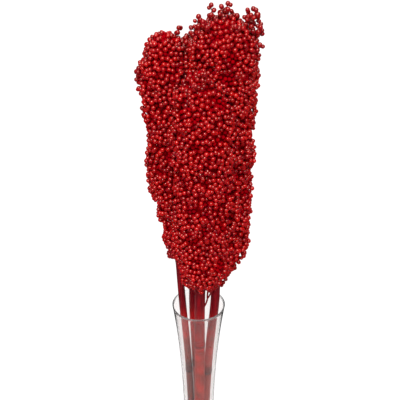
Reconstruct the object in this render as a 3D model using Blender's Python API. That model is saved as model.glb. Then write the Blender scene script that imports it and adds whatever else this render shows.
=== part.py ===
"""Four dyed sorghum seed heads on cut stems, standing in a flared glass vase.

Metres, +Z up. The origin is on the vase's axis, in the flat face of the foot
that it stands on. -Y is the side that faces the viewer, and -X is the left.
"""

import math
import random
from functools import lru_cache

import bmesh
import bpy
from mathutils import Vector, noise

# Air kept between neighbouring solids
FIT_GAP = 0.0003

# The glass: a trumpet that widens to the mouth and to the foot from one waist
VASE_HEIGHT = 0.230
MOUTH_RADIUS = 0.0250
WAIST_RADIUS = 0.0123
FOOT_RADIUS = 0.0400
MOUTH_FLARE = 0.078
FOOT_FLARE = 0.016
GLASS_WALL = 0.0018
GLASS_FLOOR = 0.0240
FOOT_EDGE = 0.0015
VASE_SIDES = 36

# The grains, drawn about twice life size so that they still cover each head
GRAIN_PITCH = 0.0094
GRAIN_RELIEF = 0.0032
GRAIN_UNEVENNESS = 0.0006
GRAIN_JITTER = 0.16

# The heads: swellings of the surface and the socket for the stem
LUMP_SIZE = 0.017
LUMP_SHARE = 0.13
SOCKET_DEPTH = 0.014
SOCKET_SIDES = 10
SOCKET_WALL = 0.0020
SOCKET_SHARE = 0.55
PRESSING = 10

# The stems and the loose sprigs of grains at the top of a head
STEM_SIDES = 10
STEM_STEP = 0.022
KNOT_SWELL = 0.11
KNOT_LENGTH = 0.0045
TWIG_RADIUS = 0.0008
TWIG_STEPS = 4
LOOSE_GRAIN_RADIUS = 0.0024

GRAIN_RED = (0.42, 0.006, 0.010)
STEM_RED = (0.22, 0.010, 0.014)
CLEAR_GLASS = (0.93, 0.96, 0.95)

# Each plant has stations up its stem, and then up its head, as (height, x, y, radius).
# A stem stands on the vase's floor, and the last of its stations is in its head.
# "dome" is the height of a head's rounded top. A loose sprig starts inside the head and
# bends through a second point to its tip, with its number of grains last.
PLANTS = {
    "left": {
        "stem": (
            (0.0245, -0.0069, 0.0004, 0.0033),
            (0.1090, -0.0080, 0.0003, 0.0034),
            (0.1700, -0.0108, 0.0008, 0.0034),
            (0.2300, -0.0152, 0.0010, 0.0034),
            (0.2960, -0.0192, 0.0020, 0.0032),
        ),
        "head": (
            (0.2820, -0.0184, 0.0015, 0.0078),
            (0.3040, -0.0178, 0.0020, 0.0146),
            (0.3250, -0.0176, 0.0020, 0.0182),
            (0.3470, -0.0188, 0.0020, 0.0212),
            (0.3600, -0.0198, 0.0020, 0.0236),
            (0.3980, -0.0202, 0.0020, 0.0248),
            (0.4460, -0.0232, 0.0020, 0.0246),
            (0.4690, -0.0272, 0.0020, 0.0230),
            (0.5080, -0.0286, 0.0020, 0.0208),
        ),
        "dome": 0.044,
        "knots": (0.0660, 0.1490),
        "sprigs": (
            ((-0.0430, -0.001, 0.4620), (-0.0530, -0.003, 0.4700), (-0.0505, -0.004, 0.4810), 4),
            ((-0.0220, 0.007, 0.4880), (-0.0180, 0.009, 0.4990), (-0.0160, 0.009, 0.5080), 3),
        ),
        "seed": 11,
    },
    "right": {
        "stem": (
            (0.0245, 0.0058, 0.0006, 0.0039),
            (0.1090, 0.0073, 0.0006, 0.0042),
            (0.1700, 0.0102, 0.0010, 0.0043),
            (0.2300, 0.0152, 0.0010, 0.0044),
            (0.2640, 0.0162, 0.0025, 0.0043),
        ),
        "head": (
            (0.2520, 0.0163, 0.0025, 0.0092),
            (0.2680, 0.0174, 0.0025, 0.0126),
            (0.2830, 0.0198, 0.0020, 0.0210),
            (0.3020, 0.0207, 0.0020, 0.0255),
            (0.3470, 0.0212, 0.0020, 0.0260),
            (0.3980, 0.0218, 0.0020, 0.0260),
            (0.4460, 0.0216, 0.0020, 0.0272),
            (0.4800, 0.0206, 0.0020, 0.0284),
            (0.5200, 0.0206, 0.0020, 0.0262),
        ),
        "dome": 0.026,
        "knots": (0.0760, 0.1470),
        "sprigs": (
            ((0.0020, 0.004, 0.4940), (-0.0030, 0.004, 0.5030), (-0.0025, 0.003, 0.5120), 4),
            ((0.0045, 0.003, 0.5000), (-0.0005, 0.003, 0.5110), (0.0010, 0.002, 0.5210), 4),
            ((0.0065, -0.004, 0.5020), (0.0020, -0.005, 0.5110), (0.0045, -0.006, 0.5200), 4),
            ((0.0120, 0.001, 0.5080), (0.0108, 0.000, 0.5210), (0.0102, 0.000, 0.5320), 5),
            ((0.0215, 0.001, 0.5100), (0.0190, 0.000, 0.5250), (0.0280, -0.001, 0.5310), 5),
            ((0.0360, -0.002, 0.5020), (0.0400, -0.002, 0.5130), (0.0420, -0.002, 0.5250), 4),
            ((0.0370, 0.002, 0.5040), (0.0390, 0.001, 0.5170), (0.0390, 0.001, 0.5270), 3),
            ((0.0390, 0.006, 0.5000), (0.0450, 0.006, 0.5110), (0.0480, 0.006, 0.5180), 4),
            ((0.0370, 0.004, 0.5040), (0.0425, 0.003, 0.5160), (0.0465, 0.002, 0.5270), 4),
            ((0.0390, -0.003, 0.4980), (0.0460, -0.003, 0.5090), (0.0500, -0.004, 0.5160), 3),
            ((0.0400, 0.000, 0.4940), (0.0470, 0.000, 0.5030), (0.0510, -0.001, 0.5090), 4),
            ((0.0400, -0.004, 0.4860), (0.0475, -0.006, 0.4920), (0.0490, -0.008, 0.5010), 3),
        ),
        "seed": 23,
    },
    "front": {
        "stem": (
            (0.0245, -0.0006, -0.0061, 0.0044),
            (0.1090, 0.0008, -0.0072, 0.0047),
            (0.1700, 0.0010, -0.0096, 0.0048),
            (0.2300, 0.0010, -0.0126, 0.0049),
            (0.2740, 0.0020, -0.0156, 0.0047),
        ),
        "head": (
            (0.2580, 0.0018, -0.0147, 0.0112),
            (0.2650, 0.0024, -0.0156, 0.0160),
            (0.2790, 0.0026, -0.0171, 0.0200),
            (0.3020, 0.0030, -0.0186, 0.0226),
            (0.3500, 0.0040, -0.0210, 0.0242),
            (0.4000, 0.0045, -0.0228, 0.0250),
            (0.4400, 0.0042, -0.0228, 0.0250),
            (0.4820, 0.0025, -0.0200, 0.0240),
        ),
        "dome": 0.044,
        "knots": (0.0980, 0.1900),
        "sprigs": (
            ((0.0040, -0.025, 0.4660), (0.0060, -0.031, 0.4780), (0.0050, -0.033, 0.4860), 3),
        ),
        "seed": 37,
    },
    "back": {
        "stem": (
            (0.0245, 0.0002, 0.0068, 0.0036),
            (0.1090, -0.0012, 0.0076, 0.0037),
            (0.1700, -0.0036, 0.0098, 0.0038),
            (0.2300, -0.0054, 0.0124, 0.0038),
            (0.2760, -0.0034, 0.0152, 0.0037),
        ),
        "head": (
            (0.2620, -0.0036, 0.0142, 0.0084),
            (0.2800, -0.0022, 0.0158, 0.0150),
            (0.3200, -0.0002, 0.0185, 0.0208),
            (0.3800, -0.0010, 0.0222, 0.0236),
            (0.4400, -0.0028, 0.0242, 0.0242),
            (0.4880, -0.0045, 0.0250, 0.0235),
        ),
        "dome": 0.034,
        "knots": (0.0640, 0.1500),
        "sprigs": (
            ((-0.0110, 0.022, 0.4700), (-0.0135, 0.022, 0.4830), (-0.0125, 0.022, 0.4920), 4),
            ((-0.0070, 0.024, 0.4730), (-0.0085, 0.025, 0.4870), (-0.0060, 0.025, 0.4970), 4),
            ((-0.0030, 0.019, 0.4720), (-0.0040, 0.018, 0.4850), (-0.0030, 0.018, 0.4950), 4),
            ((0.0040, 0.029, 0.4720), (0.0060, 0.031, 0.4860), (0.0085, 0.032, 0.4940), 3),
        ),
        "seed": 53,
    },
}


def clear_scene():
    for obj in list(bpy.data.objects):
        bpy.data.objects.remove(obj)


def make_material(name, colour, roughness, transmission=0.0):
    material = bpy.data.materials.new(name)
    material.use_nodes = True
    shader = material.node_tree.nodes["Principled BSDF"]
    shader.inputs["Base Color"].default_value = (*colour, 1.0)
    shader.inputs["Roughness"].default_value = roughness
    shader.inputs["Transmission Weight"].default_value = transmission
    return material


def add_mesh_object(name, points, faces, material=None):
    mesh = bpy.data.meshes.new(name)
    mesh.from_pydata([tuple(p) for p in points], [], faces)
    mesh.validate()
    obj = bpy.data.objects.new(name, mesh)
    bpy.context.scene.collection.objects.link(obj)
    if material:
        mesh.materials.append(material)
    return obj


def smooth_between(stations, height):
    """x, y and radius at a height, on a smooth curve through the stations."""
    last = len(stations) - 1
    height = min(max(height, stations[0][0]), stations[last][0])
    i = next(k for k in range(last) if height <= stations[k + 1][0])
    before, low = stations[max(i - 1, 0)], stations[i]
    high, after = stations[i + 1], stations[min(i + 2, last)]
    span = high[0] - low[0]
    t = (height - low[0]) / span
    found = []
    for k in (1, 2, 3):
        slope_low = (high[k] - before[k]) / (high[0] - before[0]) * span
        slope_high = (after[k] - low[k]) / (after[0] - low[0]) * span
        found.append(
            (2 * t**3 - 3 * t**2 + 1) * low[k]
            + (t**3 - 2 * t**2 + t) * slope_low
            + (3 * t**2 - 2 * t**3) * high[k]
            + (t**3 - t**2) * slope_high
        )
    return found


def ends_of(plant):
    """The heights of a head's lowest and highest point."""
    head = PLANTS[plant]["head"]
    return head[0][0], head[-1][0]


@lru_cache(maxsize=None)
def girth(plant, height):
    """x, y and radius of a plant at a height: its stem's below the head, and none above it."""
    low, high = ends_of(plant)
    if height < low:
        return tuple(smooth_between(PLANTS[plant]["stem"], height))
    x, y, radius = smooth_between(PLANTS[plant]["head"], height)
    into_dome = min(max((height - high) / PLANTS[plant]["dome"] + 1, 0.0), 1.0)
    return x, y, radius * math.sqrt(1 - into_dome**2)


def reach(plant, height, angle):
    """How far the grains' tips stand out from a head's axis. Heads press each other flat."""
    x, y, radius = girth(plant, height)
    if radius < FIT_GAP:
        return 0.0
    where = Vector((x + math.cos(angle) * radius, y + math.sin(angle) * radius, height))
    lumps = 1 + LUMP_SHARE * noise.noise(where / LUMP_SIZE)
    crowding = (1 / (radius * lumps)) ** PRESSING
    for other in PLANTS:
        if other == plant:
            continue
        other_x, other_y, other_radius = girth(other, height)
        apart = math.hypot(other_x - x, other_y - y)
        facing = math.cos(angle - math.atan2(other_y - y, other_x - x))
        if facing > 0:
            to_neighbour = (apart**2 + radius**2 - other_radius**2) / (2 * apart)
            crowding += (facing / max(to_neighbour - FIT_GAP, FIT_GAP)) ** PRESSING
    return crowding ** (-1 / PRESSING)


def tip_point(plant, height, angle):
    x, y, _ = girth(plant, height)
    out = reach(plant, height, angle)
    return Vector((x + math.cos(angle) * out, y + math.sin(angle) * out, height))


def outward(plant, height, angle):
    """The direction that a head's surface faces."""
    low, high = ends_of(plant)
    rise, turn = 0.0010, 0.05
    under = max(height - rise, low)
    over = min(height + rise, high - 1e-5)
    along = tip_point(plant, over, angle) - tip_point(plant, under, angle)
    around = tip_point(plant, height, angle + turn) - tip_point(plant, height, angle - turn)
    return around.cross(along).normalized()


def ring_heights(plant):
    """Heights of the rows of grains, one row apart along the head's outline."""
    low, high = ends_of(plant)
    steps = 600
    heights = [low + (high - low) * k / steps for k in range(steps + 1)]
    radii = [girth(plant, height)[2] for height in heights]
    run = [0.0]
    for k in range(steps):
        run.append(run[-1] + math.hypot(heights[k + 1] - heights[k], radii[k + 1] - radii[k]))
    row = GRAIN_PITCH * math.sqrt(3) / 2
    rows = round(run[-1] / row - 0.5)
    wanted = [run[-1] * (k + 0.5) / (rows + 0.5) for k in range(rows)]
    return [heights[next(k for k in range(steps + 1) if run[k] >= s)] for s in wanted]


def stitch(lower, upper):
    """Triangles between two rows, each a list of (angle, point) in order of angle."""
    start = lower[0][0]
    apart = [(a - start + math.pi) % math.tau - math.pi for a, _ in upper]
    first = min(range(len(upper)), key=lambda k: abs(apart[k]))
    upper = [
        (start + apart[first] + (upper[(first + k) % len(upper)][0] - upper[first][0]) % math.tau,
         upper[(first + k) % len(upper)][1])
        for k in range(len(upper))
    ]
    lower = [*lower, (start + math.tau, lower[0][1])]
    upper = [*upper, (upper[0][0] + math.tau, upper[0][1])]
    i = j = 0
    triangles = []
    while i < len(lower) - 1 or j < len(upper) - 1:
        done_below, done_above = i == len(lower) - 1, j == len(upper) - 1
        if done_above or (not done_below and lower[i + 1][0] <= upper[j + 1][0]):
            triangles.append((lower[i][1], lower[i + 1][1], upper[j][1]))
            i += 1
        else:
            triangles.append((lower[i][1], upper[j + 1][1], upper[j][1]))
            j += 1
    return triangles


def raise_grains(points, bases, triangles, grains):
    """Splits a net of grains so that each stands as a pointed mound among low valleys."""
    valleys = {}
    for triangle in triangles:
        valleys[triangle] = len(points)
        points.append(sum((bases[k] for k in triangle), Vector()) / 3)
    across = {}
    for p, q, r in triangles:
        for edge in ((p, q), (q, r), (r, p)):
            across[edge] = valleys[(p, q, r)]
    faces = []
    for (p, q), valley in across.items():
        if p in grains and q in grains:
            faces.append((p, across[(q, p)], valley))
        else:
            faces.append((p, q, valley))
    return faces


def head_mesh(plant):
    """The points and faces of one head: grains over all of it, and a socket for the stem."""
    chance = random.Random(PLANTS[plant]["seed"])
    low, high = ends_of(plant)
    x, y, stem_radius = smooth_between(PLANTS[plant]["stem"], low)
    rim = (stem_radius + FIT_GAP) / math.cos(math.pi / SOCKET_SIDES)
    roof_height = low + SOCKET_DEPTH + FIT_GAP
    points, bases, rows = [], [], []

    collar = []
    for k in range(SOCKET_SIDES):
        angle = math.tau * k / SOCKET_SIDES
        collar.append((angle, len(points)))
        points.append(Vector((x + math.cos(angle) * rim, y + math.sin(angle) * rim, low)))
        bases.append(points[-1])
    rows.append(collar)

    def add_grain(height, angle):
        tip, facing = tip_point(plant, height, angle), outward(plant, height, angle)
        relief = GRAIN_RELIEF
        if height < roof_height + SOCKET_WALL * 2:
            relief = min(relief, max(reach(plant, height, angle) - rim, 0) * SOCKET_SHARE)
        points.append(tip + facing * chance.uniform(-GRAIN_UNEVENNESS, 0))
        bases.append(tip - facing * relief)
        return len(points) - 1

    for height in ring_heights(plant):
        around = sum(reach(plant, height, math.tau * k / 24) for k in range(24)) / 24
        count = max(5, round(math.tau * around / GRAIN_PITCH))
        offset = chance.uniform(0, math.tau)
        row = []
        for k in range(count):
            angle = offset + math.tau * (k + chance.uniform(-GRAIN_JITTER, GRAIN_JITTER)) / count
            up = height + GRAIN_PITCH * chance.uniform(-GRAIN_JITTER, GRAIN_JITTER) * 0.5
            up = min(max(up, low + FIT_GAP), high - FIT_GAP)
            row.append((angle, add_grain(up, angle)))
        rows.append(row)

    x, y, _ = girth(plant, high)
    pole = len(points)
    points.append(Vector((x, y, high)))
    bases.append(Vector((x, y, high - GRAIN_RELIEF)))

    triangles = []
    for lower, upper in zip(rows, rows[1:]):
        triangles += stitch(lower, upper)
    top = [point for _, point in rows[-1]]
    triangles += [(top[k], top[(k + 1) % len(top)], pole) for k in range(len(top))]
    grains = set(range(SOCKET_SIDES, len(points)))
    faces = raise_grains(points, bases, triangles, grains)

    roof = len(points)
    top_x, top_y, _ = smooth_between(PLANTS[plant]["stem"], low + SOCKET_DEPTH)
    x, y, _ = smooth_between(PLANTS[plant]["stem"], low)
    lean = Vector((top_x - x, top_y - y, SOCKET_DEPTH + FIT_GAP))
    points += [points[k] + lean for k in range(SOCKET_SIDES)]
    for k in range(SOCKET_SIDES):
        after = (k + 1) % SOCKET_SIDES
        faces.append((after, k, roof + k, roof + after))
    faces.append(tuple(roof + k for k in reversed(range(SOCKET_SIDES))))
    return points, faces


def tube_mesh(path, radii, sides, level=False):
    """A closed tube along a path, with flat ends. Its rings are square to the path or level."""
    points, faces = [], []
    for k, (centre, radius) in enumerate(zip(path, radii)):
        ahead = path[min(k + 1, len(path) - 1)] - path[max(k - 1, 0)]
        if level:
            ahead = Vector((0, 0, 1))
        across = ahead.normalized().cross(Vector((0, 1, 0))).normalized()
        beyond = ahead.normalized().cross(across)
        for s in range(sides):
            angle = math.tau * s / sides
            points.append(centre + (across * math.cos(angle) + beyond * math.sin(angle)) * radius)
    for k in range(len(path) - 1):
        for s in range(sides):
            after = (s + 1) % sides
            low, high = k * sides, (k + 1) * sides
            faces.append((low + s, low + after, high + after, high + s))
    faces.append(tuple(reversed(range(sides))))
    faces.append(tuple(range((len(path) - 1) * sides, len(path) * sides)))
    return points, faces


def face_outward(obj):
    mesh = bmesh.new()
    mesh.from_mesh(obj.data)
    bmesh.ops.recalc_face_normals(mesh, faces=mesh.faces)
    mesh.to_mesh(obj.data)
    mesh.free()


def make_stem(plant, material):
    """The cut stem, from the vase's floor into its head, with a swollen ring at each knot."""
    stem, knots = PLANTS[plant]["stem"], PLANTS[plant]["knots"]
    low, high = stem[0][0], ends_of(plant)[0] + SOCKET_DEPTH
    count = round((high - low) / STEM_STEP)
    heights = {low + (high - low) * k / count for k in range(count + 1)}
    heights = {h for h in heights if all(abs(h - knot) > KNOT_LENGTH for knot in knots)}
    for knot in knots:
        heights |= {knot - KNOT_LENGTH, knot, knot + KNOT_LENGTH}
    path, radii = [], []
    for height in sorted(heights):
        x, y, radius = smooth_between(stem, height)
        path.append(Vector((x, y, height)))
        radii.append(radius * (1 + KNOT_SWELL * (height in knots)))
    obj = add_mesh_object(f"stem_{plant}", *tube_mesh(path, radii, STEM_SIDES, level=True), material)
    face_outward(obj)
    obj.data.shade_smooth()
    obj.data.set_sharp_from_angle(angle=math.radians(50))
    return obj


def add_loose_sprigs(head, plant):
    """Joins loose sprigs to a head: a thin bent twig each, with grains along its outer part."""
    chance = random.Random(PLANTS[plant]["seed"] + 2)
    loose = bpy.data.collections.new(f"{plant} sprigs")
    bpy.context.scene.collection.children.link(loose)
    for start, bend, tip, grains in PLANTS[plant]["sprigs"]:
        start, bend, tip = Vector(start), Vector(bend), Vector(tip)
        pull = bend * 2 - (start + tip) / 2

        def along(t):
            return start * (1 - t) ** 2 + pull * 2 * t * (1 - t) + tip * t**2

        path = [along(k / TWIG_STEPS) for k in range(TWIG_STEPS + 1)]
        twig = add_mesh_object("twig", *tube_mesh(path, [TWIG_RADIUS] * len(path), 4))
        face_outward(twig)
        pieces = [twig]
        for k in range(grains):
            place = along(0.42 + 0.58 * k / (grains - 1))
            side = Vector((chance.uniform(-1, 1), chance.uniform(-1, 1), chance.uniform(-1, 1)))
            centre = place + side.normalized() * LOOSE_GRAIN_RADIUS * 0.5
            bpy.ops.mesh.primitive_ico_sphere_add(
                subdivisions=1, radius=LOOSE_GRAIN_RADIUS, location=centre
            )
            pieces.append(bpy.context.object)
        for piece in pieces:
            for holder in list(piece.users_collection):
                holder.objects.unlink(piece)
            loose.objects.link(piece)

    union = head.modifiers.new("Sprigs", "BOOLEAN")
    union.operation = "UNION"
    union.solver = "MANIFOLD"
    union.operand_type = "COLLECTION"
    union.collection = loose
    with bpy.context.temp_override(object=head, active_object=head, selected_objects=[head]):
        bpy.ops.object.modifier_apply(modifier=union.name)
    for piece in list(loose.objects):
        bpy.data.objects.remove(piece)
    bpy.data.collections.remove(loose)


def make_head(plant, material):
    head = add_mesh_object(f"head_{plant}", *head_mesh(plant), material)
    add_loose_sprigs(head, plant)
    return head


def outer_radius(height):
    """The glass's outside: a waist that widens towards the mouth and towards the foot."""
    mouth = (MOUTH_RADIUS - WAIST_RADIUS) * math.exp((height - VASE_HEIGHT) / MOUTH_FLARE)
    foot = (FOOT_RADIUS - WAIST_RADIUS) * math.exp(-height / FOOT_FLARE)
    return WAIST_RADIUS + mouth + foot


def inner_radius(height):
    """The glass's inside, which follows the mouth's flare and keeps clear of the foot's."""
    flare = (MOUTH_RADIUS - WAIST_RADIUS) * math.exp((height - VASE_HEIGHT) / MOUTH_FLARE)
    return WAIST_RADIUS + flare - GLASS_WALL


def make_vase(material):
    """The vase, turned from one outline of its inside, its rim, its outside and its foot."""
    tall = VASE_HEIGHT - GLASS_WALL - GLASS_FLOOR
    inside = [GLASS_FLOOR + tall * (k / 6) ** 0.8 for k in range(7)] + [VASE_HEIGHT]
    rim = VASE_HEIGHT + GLASS_WALL * 0.3
    outside = [VASE_HEIGHT, VASE_HEIGHT - GLASS_WALL]
    outside += [0.205, 0.175, 0.140, 0.100, 0.065, 0.042, 0.028, 0.018, 0.010, 0.004]
    outline = [(0.0, GLASS_FLOOR)]
    outline += [(inner_radius(height), height) for height in inside]
    outline.append((MOUTH_RADIUS - GLASS_WALL * 0.5, rim))
    outline += [(outer_radius(height), height) for height in outside]
    outline.append((outer_radius(FOOT_EDGE), FOOT_EDGE))
    outline.append((outer_radius(FOOT_EDGE) - FOOT_EDGE, 0.0))
    outline.append((0.0, 0.0))
    mesh = bpy.data.meshes.new("vase")
    edges = [(k, k + 1) for k in range(len(outline) - 1)]
    mesh.from_pydata([(radius, 0.0, height) for radius, height in outline], edges, [])
    mesh.materials.append(material)
    vase = bpy.data.objects.new("vase", mesh)
    bpy.context.scene.collection.objects.link(vase)
    turn = vase.modifiers.new("Turn", "SCREW")
    turn.angle = math.tau
    turn.axis = "Z"
    turn.steps = turn.render_steps = VASE_SIDES
    turn.use_merge_vertices = True
    turn.merge_threshold = 0.00001
    turn.use_smooth_shade = True
    return vase


def main():
    clear_scene()
    grain = make_material("dyed grain", GRAIN_RED, 0.38)
    stalk = make_material("dyed stem", STEM_RED, 0.55)
    glass = make_material("clear glass", CLEAR_GLASS, 0.03, transmission=1.0)
    make_vase(glass)
    for plant in PLANTS:
        make_stem(plant, stalk)
        make_head(plant, grain)


main()
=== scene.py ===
# %% [markdown]
# # Dyed sorghum seed heads in a glass vase
#
# This lesson dresses a plain model of a dried bunch: four seed heads covered in round grains,
# their cut stems, and the tall glass vase that holds them. The plain model is the frame. It
# fixes where everything is and how big it is, and nothing here moves it. Each step builds one
# piece or one finish over the frame.

# %% Load the frame
import math
import random

import bmesh
import bpy
import numpy as np
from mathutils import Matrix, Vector, kdtree, noise


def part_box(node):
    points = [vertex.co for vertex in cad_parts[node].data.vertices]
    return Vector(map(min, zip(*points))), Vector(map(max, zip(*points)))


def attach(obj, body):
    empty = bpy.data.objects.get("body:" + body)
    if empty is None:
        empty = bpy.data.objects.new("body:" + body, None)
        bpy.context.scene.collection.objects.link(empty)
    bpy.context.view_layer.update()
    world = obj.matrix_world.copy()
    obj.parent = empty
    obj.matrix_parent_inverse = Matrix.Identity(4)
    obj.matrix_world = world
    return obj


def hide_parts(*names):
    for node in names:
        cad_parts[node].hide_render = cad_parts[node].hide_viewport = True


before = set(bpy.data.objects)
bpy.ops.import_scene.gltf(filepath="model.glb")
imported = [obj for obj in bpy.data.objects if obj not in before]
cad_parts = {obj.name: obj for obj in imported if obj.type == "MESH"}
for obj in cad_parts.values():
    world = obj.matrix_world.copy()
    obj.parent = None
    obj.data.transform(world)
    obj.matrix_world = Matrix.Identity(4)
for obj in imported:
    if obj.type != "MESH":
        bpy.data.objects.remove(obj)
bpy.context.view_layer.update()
vase_low, vase_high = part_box("vase")
print("frame nodes:", ", ".join(sorted(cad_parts)))
print("vase in mm:", [round(1000 * (b - a)) for a, b in zip(vase_low, vase_high)])

# %% [markdown]
# ## The camera
#
# The photo shows the mouth of the vase as an ellipse 0.62 as tall as it is wide, so the camera
# looks down at 32.5 degrees there. The grains at the top look a sixth larger than those at the
# bottom, which puts it close, a little under a metre away. A lens is then set from the focal
# length in pixels, because Blender's lens is in millimetres on a 36 mm sensor. Working the
# camera out first means that every later piece can be compared with the photo in place.

# %% Camera
PHOTO_SIDE = 400
FOCAL_PIXELS = 1030
LOOK_DOWN = math.radians(32.5)
CAMERA_DISTANCE = 0.916
AIM = Vector((0.0013, 0.0, 0.347))

lens = bpy.data.cameras.new("camera")
lens.sensor_width = 36
lens.lens = lens.sensor_width * FOCAL_PIXELS / PHOTO_SIDE
camera = bpy.data.objects.new("camera", lens)
camera.location = AIM + CAMERA_DISTANCE * Vector((0, -math.cos(LOOK_DOWN), math.sin(LOOK_DOWN)))
camera.rotation_euler = (AIM - camera.location).to_track_quat("-Z", "Y").to_euler()
bpy.context.scene.collection.objects.link(camera)
bpy.context.scene.camera = camera
print(f"lens {lens.lens:.1f} mm, camera {1000 * camera.location.z:.0f} mm above the floor")

# %% [markdown]
# ## The table and the light
#
# A glossy grain mirrors the shape of its lamp. One lamp high up on the camera's side gives each
# grain a small highlight near its top. Two wide soft ones light the left and the right, and throw
# their weak shadows out of the view to the sides. All are sun lamps with a wide angle, which
# light the whole table evenly, because they are nowhere near anything. A fourth, from behind, is
# for whoever walks round the bunch. White surroundings fill the gaps. Reflections see only a
# very dim version of them, no table and neither side lamp, as if dark cards stood round the
# set. Otherwise they would lay a grey veil over the deep red. The table glows a little, like the
# light tables that give product photos their pure white ground. The colours go to the screen
# unchanged, with the Standard view, because the filmic ones wash out a red as deep as this.

# %% Table, lamps and surroundings
TABLE_SIDE = 60.0
TABLE_LOOK = {
    "Base Color": (0.30, 0.30, 0.298, 1),
    "Roughness": 0.9,
    "Emission Color": (1, 1, 1, 1),
    "Emission Strength": 0.50,
}
LAMPS = {
    "key": {"towards": (-0.12, -0.85, 1.20), "strength": 2.6, "width": 34},
    "left": {"towards": (-1.0, -0.48, 0.85), "strength": 0.9, "width": 40},
    "right": {"towards": (1.0, -0.48, 0.85), "strength": 0.8, "width": 40},
    "behind": {"towards": (0.25, 1.0, 0.90), "strength": 1.1, "width": 50},
}
BACKDROP = 1.0
FILL = 0.95
MIRRORED = 0.04
MIRRORED_LAMPS = ("key", "behind")


def set_inputs(node, values):
    """Give values to the sockets of a node by their labels."""
    for label, value in values.items():
        node.inputs[label].default_value = value


scene = bpy.context.scene
scene.view_settings.view_transform = "Standard"

table_mesh = bpy.data.meshes.new("table")
half = TABLE_SIDE / 2
corners = [(-half, -half, 0), (half, -half, 0), (half, half, 0), (-half, half, 0)]
table_mesh.from_pydata(corners, [], [(0, 1, 2, 3)])
table = bpy.data.objects.new("table", table_mesh)
scene.collection.objects.link(table)
table_paint = bpy.data.materials.new("pale table")
table_paint.use_nodes = True
set_inputs(table_paint.node_tree.nodes["Principled BSDF"], TABLE_LOOK)
table_mesh.materials.append(table_paint)
table.visible_glossy = False

for name, lamp in LAMPS.items():
    light = bpy.data.lights.new(name, "SUN")
    light.energy = lamp["strength"]
    light.angle = math.radians(lamp["width"])
    lamp_object = bpy.data.objects.new(name, light)
    lamp_object.rotation_euler = Vector(lamp["towards"]).to_track_quat("Z", "Y").to_euler()
    lamp_object.visible_glossy = name in MIRRORED_LAMPS
    scene.collection.objects.link(lamp_object)

world = bpy.data.worlds.new("surroundings")
world.use_nodes = True
sky = world.node_tree
ray = sky.nodes.new("ShaderNodeLightPath")
seen = sky.nodes.new("ShaderNodeMath")
seen.operation = "MAXIMUM"
sky.links.new(ray.outputs["Is Camera Ray"], seen.inputs[0])
sky.links.new(ray.outputs["Is Transmission Ray"], seen.inputs[1])
glint = sky.nodes.new("ShaderNodeMapRange")
set_inputs(glint, {"To Min": FILL, "To Max": MIRRORED})
sky.links.new(ray.outputs["Is Glossy Ray"], glint.inputs["Value"])
level = sky.nodes.new("ShaderNodeMapRange")
set_inputs(level, {"To Max": BACKDROP})
sky.links.new(seen.outputs["Value"], level.inputs["Value"])
sky.links.new(glint.outputs["Result"], level.inputs["To Min"])
set_inputs(sky.nodes["Background"], {"Color": (1, 1, 1, 1)})
sky.links.new(level.outputs["Result"], sky.nodes["Background"].inputs["Strength"])
scene.world = world
print("lamps:", ", ".join(f"{name} {lamp['width']} degrees wide" for name, lamp in LAMPS.items()))

# %% [markdown]
# ## The shape of the bunch
#
# Each plant is a stem that swells into a long head. A tube could be shaped by hand, but a short
# list of stations, (height, x, y, radius), is easier to compare with the photo and to change. A
# smooth curve goes through them. They are the same stations as in the plain model, so the grains
# land where its surface is.

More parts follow.
